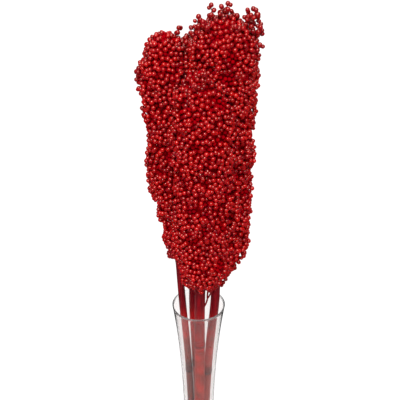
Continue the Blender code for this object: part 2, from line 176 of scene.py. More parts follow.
# %% Stations of the four plants
PLANTS = {
    "left": {
        "stem": (
            (0.0245, -0.0069, 0.0004, 0.0033),
            (0.1090, -0.0080, 0.0003, 0.0034),
            (0.1700, -0.0108, 0.0008, 0.0034),
            (0.2300, -0.0152, 0.0010, 0.0034),
            (0.2960, -0.0192, 0.0020, 0.0032),
        ),
        "head": (
            (0.2820, -0.0184, 0.0015, 0.0078),
            (0.3040, -0.0178, 0.0020, 0.0146),
            (0.3250, -0.0176, 0.0020, 0.0182),
            (0.3470, -0.0188, 0.0020, 0.0212),
            (0.3600, -0.0198, 0.0020, 0.0236),
            (0.3980, -0.0202, 0.0020, 0.0248),
            (0.4460, -0.0232, 0.0020, 0.0246),
            (0.4690, -0.0272, 0.0020, 0.0230),
            (0.5080, -0.0286, 0.0020, 0.0208),
        ),
        "dome": 0.044,
        "knots": (0.0660, 0.1490),
        "sprigs": (
            ((-0.0430, -0.001, 0.4620), (-0.0495, -0.003, 0.4690), (-0.0480, -0.004, 0.4790)),
            ((-0.0220, 0.007, 0.4880), (-0.0180, 0.009, 0.4990), (-0.0160, 0.009, 0.5080)),
        ),
        "seed": 11,
    },
    "right": {
        "stem": (
            (0.0245, 0.0058, 0.0006, 0.0039),
            (0.1090, 0.0073, 0.0006, 0.0042),
            (0.1700, 0.0102, 0.0010, 0.0043),
            (0.2300, 0.0152, 0.0010, 0.0044),
            (0.2640, 0.0162, 0.0025, 0.0043),
        ),
        "head": (
            (0.2520, 0.0163, 0.0025, 0.0092),
            (0.2680, 0.0174, 0.0025, 0.0126),
            (0.2830, 0.0198, 0.0020, 0.0210),
            (0.3020, 0.0207, 0.0020, 0.0255),
            (0.3470, 0.0212, 0.0020, 0.0260),
            (0.3980, 0.0218, 0.0020, 0.0260),
            (0.4460, 0.0216, 0.0020, 0.0272),
            (0.4800, 0.0206, 0.0020, 0.0284),
            (0.5200, 0.0206, 0.0020, 0.0262),
        ),
        "dome": 0.026,
        "knots": (0.0760, 0.1470),
        "sprigs": (
            ((0.0020, 0.004, 0.4940), (-0.0030, 0.004, 0.5030), (-0.0025, 0.003, 0.5120)),
            ((0.0045, 0.003, 0.5000), (-0.0005, 0.003, 0.5110), (0.0010, 0.002, 0.5210)),
            ((0.0065, -0.004, 0.5020), (0.0020, -0.005, 0.5110), (0.0045, -0.006, 0.5200)),
            ((0.0120, 0.001, 0.5080), (0.0108, 0.000, 0.5210), (0.0102, 0.000, 0.5320)),
            ((0.0215, 0.001, 0.5100), (0.0190, 0.000, 0.5250), (0.0280, -0.001, 0.5310)),
            ((0.0360, -0.002, 0.5020), (0.0400, -0.002, 0.5130), (0.0420, -0.002, 0.5250)),
            ((0.0370, 0.002, 0.5040), (0.0390, 0.001, 0.5170), (0.0390, 0.001, 0.5270)),
            ((0.0390, 0.006, 0.5000), (0.0450, 0.006, 0.5110), (0.0480, 0.006, 0.5180)),
            ((0.0370, 0.004, 0.5040), (0.0425, 0.003, 0.5160), (0.0465, 0.002, 0.5270)),
            ((0.0390, -0.003, 0.4980), (0.0460, -0.003, 0.5090), (0.0500, -0.004, 0.5160)),
            ((0.0400, 0.000, 0.4940), (0.0470, 0.000, 0.5030), (0.0510, -0.001, 0.5090)),
            ((0.0400, -0.004, 0.4860), (0.0475, -0.006, 0.4920), (0.0490, -0.008, 0.5010)),
        ),
        "seed": 23,
    },
    "front": {
        "stem": (
            (0.0245, -0.0006, -0.0061, 0.0044),
            (0.1090, 0.0008, -0.0072, 0.0047),
            (0.1700, 0.0010, -0.0096, 0.0048),
            (0.2300, 0.0010, -0.0126, 0.0049),
            (0.2740, 0.0020, -0.0156, 0.0047),
        ),
        "head": (
            (0.2580, 0.0018, -0.0147, 0.0112),
            (0.2650, 0.0024, -0.0156, 0.0160),
            (0.2790, 0.0026, -0.0171, 0.0200),
            (0.3020, 0.0030, -0.0186, 0.0226),
            (0.3500, 0.0040, -0.0210, 0.0242),
            (0.4000, 0.0045, -0.0228, 0.0250),
            (0.4400, 0.0042, -0.0228, 0.0250),
            (0.4820, 0.0025, -0.0200, 0.0240),
        ),
        "dome": 0.044,
        "knots": (0.0980, 0.1900),
        "sprigs": (
            ((0.0040, -0.025, 0.4660), (0.0060, -0.031, 0.4780), (0.0050, -0.033, 0.4860)),
        ),
        "seed": 37,
    },
    "back": {
        "stem": (
            (0.0245, 0.0002, 0.0068, 0.0036),
            (0.1090, -0.0012, 0.0076, 0.0037),
            (0.1700, -0.0036, 0.0098, 0.0038),
            (0.2300, -0.0054, 0.0124, 0.0038),
            (0.2760, -0.0034, 0.0152, 0.0037),
        ),
        "head": (
            (0.2620, -0.0036, 0.0142, 0.0084),
            (0.2800, -0.0022, 0.0158, 0.0150),
            (0.3200, -0.0002, 0.0185, 0.0208),
            (0.3800, -0.0010, 0.0222, 0.0236),
            (0.4400, -0.0028, 0.0242, 0.0242),
            (0.4880, -0.0045, 0.0250, 0.0235),
        ),
        "dome": 0.034,
        "knots": (0.0640, 0.1500),
        "sprigs": (
            ((-0.0110, 0.022, 0.4700), (-0.0135, 0.022, 0.4830), (-0.0125, 0.022, 0.4920)),
            ((-0.0070, 0.024, 0.4730), (-0.0085, 0.025, 0.4870), (-0.0060, 0.025, 0.4970)),
            ((-0.0030, 0.019, 0.4720), (-0.0040, 0.018, 0.4850), (-0.0030, 0.018, 0.4950)),
            ((0.0040, 0.029, 0.4720), (0.0060, 0.031, 0.4860), (0.0085, 0.032, 0.4940)),
        ),
        "seed": 53,
    },
}
print("plants:", ", ".join(PLANTS))

# %% Curves through the stations
TABLE_STEP = 0.0005


def curve_through(stations, heights):
    """x, y and radius at each height, on a smooth curve through the stations."""
    s = np.array(stations)
    h = np.clip(heights, s[0, 0], s[-1, 0])
    i = np.clip(np.searchsorted(s[:, 0], h, side="right") - 1, 0, len(s) - 2)
    before, low, high, after = s[np.maximum(i - 1, 0)], s[i], s[i + 1], s[np.minimum(i + 2, len(s) - 1)]
    span = (high[:, 0] - low[:, 0])[:, None]
    t = (h - low[:, 0])[:, None] / span
    slope_low = (high[:, 1:] - before[:, 1:]) / (high[:, :1] - before[:, :1]) * span
    slope_high = (after[:, 1:] - low[:, 1:]) / (after[:, :1] - low[:, :1]) * span
    found = (2 * t**3 - 3 * t**2 + 1) * low[:, 1:] + (t**3 - 2 * t**2 + t) * slope_low
    found += (3 * t**2 - 2 * t**3) * high[:, 1:] + (t**3 - t**2) * slope_high
    return found.T


def tabulate(plant):
    """A plant's (heights, x, y, radius): its stem below the head, then the head with its dome."""
    low, high = plant["head"][0][0], plant["head"][-1][0]
    heights = np.arange(plant["stem"][0][0], high + TABLE_STEP, TABLE_STEP)
    stem = curve_through(plant["stem"], heights)
    head = curve_through(plant["head"], heights)
    head[2] *= np.sqrt(1 - np.clip((heights - high) / plant["dome"] + 1, 0, 1) ** 2)
    x, y, radius = np.where(heights < low, stem, head)
    return heights, x, y, radius


TABLES = {name: tabulate(plant) for name, plant in PLANTS.items()}


def girth(name, heights):
    """x, y and radius of a plant at each height, with no radius above it."""
    table_heights, x, y, radius = TABLES[name]
    found = [np.interp(heights, table_heights, values) for values in (x, y, radius)]
    found[2] = np.where(heights > table_heights[-1], 0, found[2])
    return found


for name, plant in PLANTS.items():
    print(f"{name} head: {1000 * plant['head'][0][0]:.0f} to {1000 * plant['head'][-1][0]:.0f} mm up")

# %% [markdown]
# ## Heads that lean into each other
#
# Four round heads side by side would leave deep grooves, but real ones are springy and their
# outer branches lean into each other. So the surface is found as for blobs of putty: in each
# level slice the four circles melt together a little, and each head then keeps its own share, up
# to the line where it presses on its neighbour. Blender's metaballs melt too, but they would
# melt all four heads into one, and each has to stay a piece of its own.

# %% The melted surface
LUMP_SIZE = 0.017
LUMP_SHARE = 0.13
MELT = 0.0045
PRESS_GAP = 0.0004
TIP_SPREAD = 1.1
LEAST_BORDER = 0.002
LEAST_FACING = 0.02
SLIMMEST = 0.006
FARTHEST = 0.045
HALVINGS = 18


def melted_distance(heights, x, y, own, swelling):
    """How far points are outside the four melted slices. It is negative inside them."""
    total = np.zeros(len(heights))
    for name in PLANTS:
        centre_x, centre_y, radius = girth(name, heights)
        radius = radius * swelling if name == own else radius
        solid = (radius > SLIMMEST) & (heights >= PLANTS[name]["head"][0][0])
        gap = np.hypot(x - centre_x, y - centre_y) - radius
        total += np.where(solid | (name == own), np.exp(-np.clip(gap, -0.05, 0.2) / MELT), 0)
    return -MELT * np.log(np.maximum(total, 1e-30))


def surface(name, heights, angles, sunk=0.0):
    """Points on a head's surface, sunk below it, and how deep each is inside the whole bunch."""
    x, y, radius = girth(name, heights)
    across, beyond = np.cos(angles), np.sin(angles)
    rim = np.column_stack((x + across * radius, y + beyond * radius, heights)) / LUMP_SIZE
    swelling = 1 + LUMP_SHARE * np.array([noise.noise(p) for p in rim])
    near, far = np.zeros(len(heights)), np.full(len(heights), FARTHEST)
    for _ in range(HALVINGS):
        middle = (near + far) / 2
        outside = melted_distance(heights, x + across * middle, y + beyond * middle, name, swelling) > 0
        near, far = np.where(outside, near, middle), np.where(outside, middle, far)
    reach = np.where(radius > SLIMMEST, near, np.minimum(near, radius * TIP_SPREAD))
    for other in PLANTS:
        if other == name:
            continue
        other_x, other_y, other_radius = girth(other, heights)
        apart = np.hypot(other_x - x, other_y - y)
        facing = (across * (other_x - x) + beyond * (other_y - y)) / apart
        border = (apart**2 + radius**2 - other_radius**2) / (2 * apart) - PRESS_GAP
        limit = np.maximum(border, LEAST_BORDER) / np.maximum(facing, LEAST_FACING)
        pressed = (facing > LEAST_FACING) & (other_radius > 0)
        reach = np.where(pressed, np.minimum(reach, limit), reach)
    out = np.maximum(reach - sunk, 0)
    points = np.column_stack((x + across * out, y + beyond * out, heights))
    depth = -melted_distance(heights, points[:, 0], points[:, 1], name, swelling)
    return points, depth


sample, _ = surface("front", np.full(4, 0.4), np.arange(4) * math.pi / 2)
print("front head at 400 mm up:", np.round(1000 * sample, 1).tolist())

# %% [markdown]
# ## Even but never regular
#
# Grains sit all over a head, close but not in rows. Rows would show at once as a pattern, and
# plain random places leave bald spots and clashes. So the grains are first dropped at random,
# and then each one steps away from those too near it, over and over, until they all have room.
# It works on the surface itself: a place on a head is kept as the distance run up its side and
# the angle round it.

# %% Scatter places and let them push each other apart
ROUNDS = 12
NEIGHBOURS = 7
SPACING = 1.06
PUSH = 0.32
STEP_UP = 0.0008
STEP_ROUND = 0.04


def upward_run(name):
    """Heights on a head, with the distance run up its outline to each, and the area below it."""
    low = PLANTS[name]["head"][0][0]
    heights, _, _, radius = TABLES[name]
    heights, radius = heights[heights >= low], radius[heights >= low]
    run = np.concatenate(([0], np.cumsum(np.hypot(np.diff(heights), np.diff(radius)))))
    centre_x, centre_y, _ = girth(name, heights)
    around = np.zeros(len(heights))
    for angle in np.linspace(0, math.tau, 12, endpoint=False):
        points, _ = surface(name, heights, np.full(len(heights), angle))
        around += np.hypot(points[:, 0] - centre_x, points[:, 1] - centre_y)
    area = np.concatenate(([0], np.cumsum(math.tau * (around / 12)[1:] * np.diff(run))))
    return heights, run, area


RUNS = {name: upward_run(name) for name in PLANTS}


def unit(directions):
    """The same directions with length 1."""
    return directions / (np.linalg.norm(directions, axis=-1, keepdims=True) + 1e-12)


def stand(name, run, angle, sunk=0.0):
    """Points at those places, their outward direction, depth inside the bunch, and way up."""
    heights, runs, _ = RUNS[name]
    lower = np.interp(np.clip(run - STEP_UP, 0, runs[-1]), runs, heights)
    upper = np.interp(np.clip(run + STEP_UP, 0, runs[-1]), runs, heights)
    level = (lower + upper) / 2
    points, depth = surface(name, np.interp(run, runs, heights), angle, sunk)
    up = unit(surface(name, upper, angle)[0] - surface(name, lower, angle)[0])
    ahead, _ = surface(name, level, angle + STEP_ROUND)
    behind, _ = surface(name, level, angle - STEP_ROUND)
    return points, unit(np.cross(unit(ahead - behind), up)), depth, up


def scatter(name, room, seed):
    """Evenly spread places on a head, each with about that much area to itself."""
    chance = np.random.default_rng(seed)
    heights, runs, area = RUNS[name]
    count = int(area[-1] / room)
    run = np.interp(chance.uniform(0, area[-1], count), area, runs)
    angle = chance.uniform(0, math.tau, count)
    radius = np.interp(heights, TABLES[name][0], TABLES[name][3])
    slope = np.clip(np.gradient(radius, runs + np.arange(len(runs)) * 1e-9), -0.999, 0.999)
    wanted = math.sqrt(room * 2 / math.sqrt(3)) * SPACING
    for _ in range(ROUNDS):
        points, _ = surface(name, np.interp(run, runs, heights), angle)
        across = np.column_stack((np.cos(angle), np.sin(angle), np.zeros(count)))
        around = np.column_stack((-np.sin(angle), np.cos(angle), np.zeros(count)))
        up = np.interp(run, runs, slope)[:, None] * across
        up[:, 2] = np.sqrt(1 - (up**2).sum(axis=1))
        tree = kdtree.KDTree(count)
        for k, point in enumerate(points):
            tree.insert(point, k)
        tree.balance()
        near = np.array([[found[1] for found in tree.find_n(point, NEIGHBOURS)][1:] for point in points])
        away = points[:, None] - points[near]
        distance = np.linalg.norm(away, axis=2, keepdims=True) + 1e-9
        push = (away / distance * np.maximum(wanted - distance, 0) * PUSH).sum(axis=1)
        centre_x, centre_y, _ = girth(name, points[:, 2])
        out = np.hypot(points[:, 0] - centre_x, points[:, 1] - centre_y)
        run = np.clip(run + (push * up).sum(axis=1), 0, runs[-1])
        angle = angle + (push * around).sum(axis=1) / np.maximum(out, 0.001)
    return run, angle


print("head areas in cm2:", {name: round(run[2][-1] * 1e4) for name, run in RUNS.items()})

# %% [markdown]
# ## Uneven dye
#
# Dye soaks in unevenly, and leaves thin blotches on grains, twigs and stems alike. Each material
# could have its own noise, but the effect is the same everywhere. So it is one node group, which
# each material uses with its own colours and scale.

# %% Nodes for blotches
def remap(tree, source, values):
    """A number moved from one span of values to another."""
    node = tree.nodes.new("ShaderNodeMapRange")
    set_inputs(node, values)
    tree.links.new(source, node.inputs["Value"])
    return node.outputs["Result"]


def mix(tree, factor, first, second):
    """A colour that goes from the first to the second as the factor goes from 0 to 1."""
    node = tree.nodes.new("ShaderNodeMix")
    node.data_type = "RGBA"
    for label, source in (("Factor", factor), ("A", first), ("B", second)):
        if isinstance(source, tuple):
            set_inputs(node, {label: (*source, 1)})
        else:
            tree.links.new(source, node.inputs[label])
    return node.outputs["Result"]


def fine_noise(tree, scale, stretch=(1, 1, 1), detail=3):
    place = tree.nodes.new("ShaderNodeTexCoord")
    stretched = tree.nodes.new("ShaderNodeMapping")
    set_inputs(stretched, {"Scale": stretch})
    node = tree.nodes.new("ShaderNodeTexNoise")
    set_inputs(node, {"Scale": scale, "Detail": detail})
    tree.links.new(place.outputs["Object"], stretched.inputs["Vector"])
    tree.links.new(stretched.outputs["Vector"], node.inputs["Vector"])
    return node.outputs["Fac"]


# %% The node group for uneven dye
DYE_INPUTS = {"Colour": (1, 1, 1, 1), "Thin": (1, 1, 1, 1), "Scale": 500.0, "Amount": 0.3}
BLOTCH_EDGES = {"From Min": 0.35, "From Max": 0.68}


def make_uneven_dye():
    """A node group that gives a colour with blotches where the dye is thin."""
    group = bpy.data.node_groups.new("Uneven dye", "ShaderNodeTree")
    for label, value in DYE_INPUTS.items():
        kind = "NodeSocketColor" if isinstance(value, tuple) else "NodeSocketFloat"
        group.interface.new_socket(label, in_out="INPUT", socket_type=kind).default_value = value
    group.interface.new_socket("Colour", in_out="OUTPUT", socket_type="NodeSocketColor")
    given, result = group.nodes.new("NodeGroupInput"), group.nodes.new("NodeGroupOutput")
    blotches = fine_noise(group, 1)
    group.links.new(given.outputs["Scale"], blotches.node.inputs["Scale"])
    amount = group.nodes.new("ShaderNodeMath")
    amount.operation = "MULTIPLY"
    group.links.new(remap(group, blotches, BLOTCH_EDGES), amount.inputs[0])
    group.links.new(given.outputs["Amount"], amount.inputs[1])
    colour = mix(group, amount.outputs["Value"], given.outputs["Colour"], given.outputs["Thin"])
    group.links.new(colour, result.inputs["Colour"])
    return group


uneven_dye = make_uneven_dye()
print("node group:", uneven_dye.name)

# %% [markdown]
# ## Dyed grain
#
# No two grains are quite the same red, and a dark husk clasps each one's seat. A material for
# every shade, and a modelled husk, would be a lot of work for a bead 4 mm across. Instead each
# grain carries two numbers on its points. One is its tone, which the material turns into a red,
# and which also carries painted light and shade: lighter on raised clumps, darker in the valleys.
# The other runs from its seat to its tip, and places the dark band of the husk. That band is partly
# the real husk and partly painted shade where the grain sits deep in the head. The skin is hard
# and glossy. Some light goes through it, so that the shaded side stays red.

# %% Helpers for materials
def new_material(name, look):
    """A material with those values on its shader."""
    material = bpy.data.materials.new(name)
    material.use_nodes = True
    tree = material.node_tree
    set_inputs(tree.nodes["Principled BSDF"], look)
    return material, tree, tree.nodes["Principled BSDF"]


def read_number(tree, name):
    node = tree.nodes.new("ShaderNodeAttribute")
    node.attribute_name = name
    return node.outputs["Fac"]


def ramp(tree, source, stops):
    """A colour ramp fed by a number."""
    node = tree.nodes.new("ShaderNodeValToRGB")
    while len(node.color_ramp.elements) < len(stops):
        node.color_ramp.elements.new(0.5)
    for element, (position, colour) in zip(node.color_ramp.elements, stops):
        element.position = position
        element.color = (*colour, 1)
    tree.links.new(source, node.inputs["Fac"])
    return node.outputs["Color"]


def bump(tree, shader, height, strength, distance):
    node = tree.nodes.new("ShaderNodeBump")
    set_inputs(node, {"Strength": strength, "Distance": distance})
    tree.links.new(height, node.inputs["Height"])
    tree.links.new(node.outputs["Normal"], shader.inputs["Normal"])


def dye_with(tree, colour, thin, scale, amount):
    """That colour with blotches of the thin one."""
    node = tree.nodes.new("ShaderNodeGroup")
    node.node_tree = uneven_dye
    set_inputs(node, {"Thin": (*thin, 1), "Scale": scale, "Amount": amount})
    if isinstance(colour, tuple):
        set_inputs(node, {"Colour": (*colour, 1)})
    else:
        tree.links.new(colour, node.inputs["Colour"])
    return node.outputs["Colour"]


# %% Dyed grain
DEEP_RED = (0.20, 0.0002, 0.004)
FULL_RED = (0.32, 0.0003, 0.003)
WARM_RED = (0.44, 0.002, 0.004)
# Partly the real husk and partly painted shade: this colour darkens the grain's seat up to about the
# husk's edge.
HUSK_AND_SEAT_SHADE = (0.22, 0.0003, 0.003)
HUSK_AND_SEAT_SHADE_MASK = [(0.30, (1, 1, 1)), (0.42, (0, 0, 0)), (0.97, (0, 0, 0)), (1.0, (0.7, 0.7, 0.7))]
GRAIN_LOOK = {
    "Roughness": 0.30,
    "IOR": 1.75,
    "Specular IOR Level": 1.0,
    "Specular Tint": (1.0, 0.56, 0.47, 1),
    "Subsurface Weight": 0.9,
    "Subsurface Radius": (1.0, 0.03, 0.03),
    "Subsurface Scale": 0.004,
}


def dyed_tone(tree):
    """The red that a grain's tone asks for, with its blotches."""
    tone = ramp(tree, read_number(tree, "tone"), [(0.0, DEEP_RED), (0.45, FULL_RED), (1.0, WARM_RED)])
    return dye_with(tree, tone, DEEP_RED, scale=620.0, amount=0.35)


def make_grain_material():
    """A glossy grain, red all the way round, with a dark husk band that is partly painted shade at its
    seat.
    """
    material, tree, shader = new_material("dyed grain", GRAIN_LOOK)
    husk_and_seat_shade = ramp(tree, read_number(tree, "tip"), HUSK_AND_SEAT_SHADE_MASK)
    tree.links.new(mix(tree, husk_and_seat_shade, dyed_tone(tree), HUSK_AND_SEAT_SHADE), shader.inputs["Base Color"])
    bump(tree, shader, fine_noise(tree, 1500), strength=0.12, distance=0.0001)
    return material


def make_shade_material():
    """The same dye with no gloss, for what lies deep between the grains."""
    look = {"Roughness": 0.9, "Specular IOR Level": 0.0}
    material, tree, shader = new_material("dyed grain in shade", look)
    tree.links.new(dyed_tone(tree), shader.inputs["Base Color"])
    return material


MATERIALS = {"grain": make_grain_material(), "shade": make_shade_material()}
print("for the grains:", ", ".join(material.name for material in MATERIALS.values()))

# %% [markdown]
# ## Twigs, stems and pith
#
# A cane is dyed over its own long fibres, so its red is streaky. A picture could be wrapped round
# it, but noise that is stretched upward gives the same streaks with no seam. Inside the vase the
# stems are painted in patches: first a much lighter red, as painted light against the shade of the
# glass and the heads, then pale pink and brown lower down, as a painted haze of the glass. A number
# on the points says how far, and another one darkens the leaf scars. Twigs are dull and rough.
# The cut ends are pale pith, full of pores, with a colour and a bump that follow the same noise.

# %% Twig, stem and pith
TWIG_RED = (0.15, 0.001, 0.004)
TWIG_PALE = (0.20, 0.004, 0.006)
STEM_RED = (0.13, 0.0003, 0.004)
STEM_BRIGHT = (0.22, 0.0006, 0.005)
STEM_DARK = (0.06, 0.0005, 0.003)
# Painted light and haze inside the vase: a much lighter red against the shade of the glass and the heads,
# then pale pink and brown as a painted haze of the glass.
RED_PAINTED_LIT_IN_VASE = (0.72, 0.010, 0.013)
PALE_PAINTED_GLASS_HAZE = (0.56, 0.066, 0.042)
BROWN_PAINTED_GLASS_HAZE = (0.22, 0.040, 0.026)
SCAR_DARK = (0.025, 0.002, 0.003)
PITH = (0.42, 0.20, 0.12)


def make_twig_material():
    material, tree, shader = new_material("dyed twig", {"Roughness": 0.6, "Specular IOR Level": 0.2})
    dye = dye_with(tree, TWIG_RED, TWIG_PALE, scale=260.0, amount=0.4)
    tree.links.new(dye, shader.inputs["Base Color"])
    bump(tree, shader, fine_noise(tree, 900), strength=0.4, distance=0.0003)
    return material


def make_stem_material():
    """Streaky fibres, with painted light and painted glass haze in patches low in the vase."""
    material, tree, shader = new_material("dyed stem", {"Roughness": 0.45, "Specular IOR Level": 0.10})
    fibres = fine_noise(tree, 900, stretch=(1, 1, 0.03), detail=4)
    streaks = ramp(tree, fibres, [(0.30, STEM_DARK), (0.48, STEM_RED), (0.66, STEM_BRIGHT)])
    own_colour = dye_with(tree, streaks, STEM_DARK, scale=60.0, amount=0.45)
    # How much painted light and painted glass haze this point gets.
    painted_level = read_number(tree, "tone")
    in_vase_ramp = ramp(tree, painted_level, [(0.22, RED_PAINTED_LIT_IN_VASE), (0.60, PALE_PAINTED_GLASS_HAZE), (0.92, BROWN_PAINTED_GLASS_HAZE)])
    in_vase_blend = dye_with(tree, in_vase_ramp, BROWN_PAINTED_GLASS_HAZE, scale=85.0, amount=0.85)
    in_vase_share = remap(tree, painted_level, {"From Max": 0.3, "To Max": 0.85})
    scarred = mix(tree, read_number(tree, "knot"), mix(tree, in_vase_share, own_colour, in_vase_blend), SCAR_DARK)
    tree.links.new(scarred, shader.inputs["Base Color"])
    bump(tree, shader, fibres, strength=0.35, distance=0.0003)
    return material


def make_pith_material():
    material, tree, shader = new_material("cut pith", {"Roughness": 0.85})
    pores = fine_noise(tree, 1400)
    tree.links.new(ramp(tree, pores, [(0.35, STEM_BRIGHT), (0.6, PITH)]), shader.inputs["Base Color"])
    bump(tree, shader, pores, strength=0.6, distance=0.0003)
    return material


MATERIALS |= {"twig": make_twig_material(), "stem": make_stem_material(), "pith": make_pith_material()}
print("so far:", ", ".join(material.name for material in MATERIALS.values()))

# %% [markdown]
# ## Clear glass
#
# The vase is thin clear glass with a few faint smears. A see-through shader would be quick, but
# it wouldn't bend the stems behind it, so nearly all of this shader is transmission. Its bending
# is set a little under that of real glass, because the thin walls otherwise look dark and heavy.
# The smears only change the roughness. The glass has a faint pinkish grey tint, whose pink is a
# painted reflection of the red bunch. A rim as clear as the wall would show as a black line, so
# a number on the points makes it rougher there, and it catches the light. At the rim the tint
# goes to white.

# %% Glass
RIM_ROUGHNESS = 0.48
# Painted reflection: the pink in this tint stands for the red bunch mirrored in the glass.
GLASS_TINT_AND_RED_CAST = (0.91, 0.875, 0.868)
SMEARS = {"From Min": 0.45, "From Max": 0.75, "To Min": 0.0, "To Max": 0.06}


def make_glass_material():
    """Clear glass with faint smears, a painted reflection of red in its tint, and a rougher rim."""
    material, tree, shader = new_material("clear glass", {"Transmission Weight": 0.985, "IOR": 1.38})
    tint = ramp(tree, read_number(tree, "knot"), [(0.0, GLASS_TINT_AND_RED_CAST), (1.0, (1, 1, 1))])
    tree.links.new(tint, shader.inputs["Base Color"])
    smears = remap(tree, fine_noise(tree, 30, stretch=(1, 1, 0.5)), SMEARS)
    rim = tree.nodes.new("ShaderNodeMath")
    rim.operation = "MULTIPLY_ADD"
    rim.inputs[1].default_value = RIM_ROUGHNESS
    tree.links.new(read_number(tree, "knot"), rim.inputs[0])
    tree.links.new(smears, rim.inputs[2])
    tree.links.new(rim.outputs["Value"], shader.inputs["Roughness"])
    return material


MATERIALS["glass"] = make_glass_material()
print("for the vase:", MATERIALS["glass"].name)

# %% [markdown]
# ## Building meshes from parts
#
# A head has a couple of thousand grains. Copies that share one mesh would be lighter, but a
# model that others open elsewhere needs real faces, so the copies are made as plain numbers
# with numpy and joined in one mesh. A part is a small bundle: points, faces, a material and
# the numbers that the materials read.


# %% Parts and pieces
def new_part(points, faces, material, tone=0.5, tip=0.6, knot=0.0):
    """Points and faces of one material, with numbers on the points for the materials to read."""
    points = np.asarray(points, float)
    numbers = {"tone": tone, "tip": tip, "knot": knot}
    for label, value in numbers.items():
        numbers[label] = np.broadcast_to(np.asarray(value, float), len(points))
    faces = [list(face) for face in faces]
    return {"points": points, "faces": faces, "material": material, "numbers": numbers}


def make_piece(name, parts):
    """One object from many parts, riding on the frame."""
    used = sorted({part["material"] for part in parts})
    offsets = np.cumsum([0] + [len(part["points"]) for part in parts])
    faces, slots = [], []
    for part, offset in zip(parts, offsets):
        offset = int(offset)
        faces += [[corner + offset for corner in face] for face in part["faces"]]
        slots += [used.index(part["material"])] * len(part["faces"])
    mesh = bpy.data.meshes.new(name)
    mesh.from_pydata(np.vstack([part["points"] for part in parts]).tolist(), [], faces)
    for label in used:
        mesh.materials.append(MATERIALS[label])
    mesh.polygons.foreach_set("material_index", slots)
    mesh.polygons.foreach_set("use_smooth", [True] * len(faces))
    for label in ("tone", "tip", "knot"):
        values = np.concatenate([part["numbers"][label] for part in parts]).astype(np.float32)
        mesh.attributes.new(label, "FLOAT", "POINT").data.foreach_set("value", values)
    piece = bpy.data.objects.new(name, mesh)
    scene.collection.objects.link(piece)
    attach(piece, "root")
    triangles = sum(len(face) - 2 for face in faces)
    print(f"{name}: {triangles} triangles")
    return piece


def ring_faces(rings, sides):
    """The faces between rings of points that follow each other."""
    faces = []
    for k in range(rings - 1):
        for s in range(sides):
            low, after = k * sides, (s + 1) % sides
            faces.append((low + s, low + after, low + sides + after, low + sides + s))
    return faces


def tube(path, radii, sides):
    """Points and faces of a tube along a path, closed by a point at each end."""
    path, radii = np.asarray(path, float), np.broadcast_to(radii, len(path))
    ahead = unit(np.gradient(path, axis=0))
    helper = np.where(np.abs(ahead[:, 1:2]) < 0.9, [[0.0, 1.0, 0.0]], [[1.0, 0.0, 0.0]])
    across = unit(np.cross(ahead, helper))
    beyond = np.cross(ahead, across)
    turn = np.linspace(0, math.tau, sides, endpoint=False)
    rings = across[:, None] * np.cos(turn)[None, :, None] + beyond[:, None] * np.sin(turn)[None, :, None]
    points = (path[:, None] + rings * radii[:, None, None]).reshape(-1, 3)
    faces = ring_faces(len(path), sides)
    first, last = len(points), len(points) + 1
    tips = path[0] - ahead[0] * radii[0] * 0.5, path[-1] + ahead[-1] * radii[-1] * 0.5
    points = np.vstack((points, *tips))
    end = (len(path) - 1) * sides
    for s in range(sides):
        after = (s + 1) % sides
        faces += [(after, s, first), (end + s, end + after, last)]
    return points, faces


# %% [markdown]
# ## One grain
#
# A sorghum grain is a round bead about 4 mm across, a little longer than wide, seated in a husk
# that hugs its lower third. An icosphere has even faces and no poles, so few of them already
# look round. The part below the husk's edge is swelled a little, which makes the step that
# catches a thin dark line.

# %% The grain's shape, and many grains at once
GRAIN_RADIUS = 0.00208
HUSK_EDGE = -0.25


def grain_shape(detail):
    """Points of a grain of radius 1 with its tip up, its faces, and the seat-to-tip number."""
    ball = bmesh.new()
    bmesh.ops.create_icosphere(ball, subdivisions=detail, radius=1)
    points = np.array([vert.co[:] for vert in ball.verts])
    faces = np.array([[vert.index for vert in face.verts] for face in ball.faces])
    ball.free()
    tip = (points[:, 2] + 1) / 2
    points[:, :2] *= np.where(points[:, 2:] < HUSK_EDGE, 1.05, 0.97)
    points[:, 2] *= 1.04
    return points, faces, tip


GRAIN_SHAPES = {detail: grain_shape(detail) for detail in (1, 2)}


def grains_part(centres, outward, sizes, tones, detail, seed, lean=0.35, material="grain"):
    """Grains at those centres, each leaning a little off the outward direction."""
    chance = np.random.default_rng(seed)
    shape, faces, tip = GRAIN_SHAPES[detail]
    count = len(centres)
    axis = unit(outward + chance.normal(0, lean, (count, 3)) + (0, 0, 0.2))
    side = unit(np.cross(axis, chance.normal(0, 1, (count, 3))))
    frames = np.stack((side, np.cross(axis, side), axis), axis=1)
    points = np.einsum("vk,nkc->nvc", shape, frames) * np.asarray(sizes)[:, None, None] + centres[:, None]
    corners = (faces[None] + (np.arange(count) * len(shape))[:, None, None]).reshape(-1, 3)
    tones = np.repeat(np.clip(tones, 0, 1), len(shape))
    return new_part(points.reshape(-1, 3), corners.tolist(), material, tone=tones, tip=np.tile(tip, count))


print("a grain has", len(GRAIN_SHAPES[2][1]), "faces, and a hidden one", len(GRAIN_SHAPES[1][1]))

# %% [markdown]
# ## The four heads
#
# From the outside in, a head has three layers. The outer grains are the ones that are seen.
# Under them, further grains fill the gaps and sit in shadow. Below those a rough core stands in
# for the tangle of twigs. These two have no gloss, because glints deep in the gaps would look
# like grey specks. Where two heads press on each other nobody can look, so the grains there are
# coarser.

# %% Layers of a head
GRAIN_ROOM = 17.5e-6
HIDDEN_DEPTH = 0.0075
UNDER_SUNK = 0.0040
CORE_SUNK = 0.0088
LIFTS = (-0.0008, 0.0006)
RAISED_SHARE = 0.10
RAISED_LIFTS = (0.0006, 0.0020)
SIZES = (0.98, 0.08)
TONES = (0.50, 0.20)
# Painted shade: the under grains get darker tones than the outer ones, though lifted enough that the gaps
# stay deep red rather than black.
UNDER_PAINTED_SHADE_TONES = (0.30, 0.15)
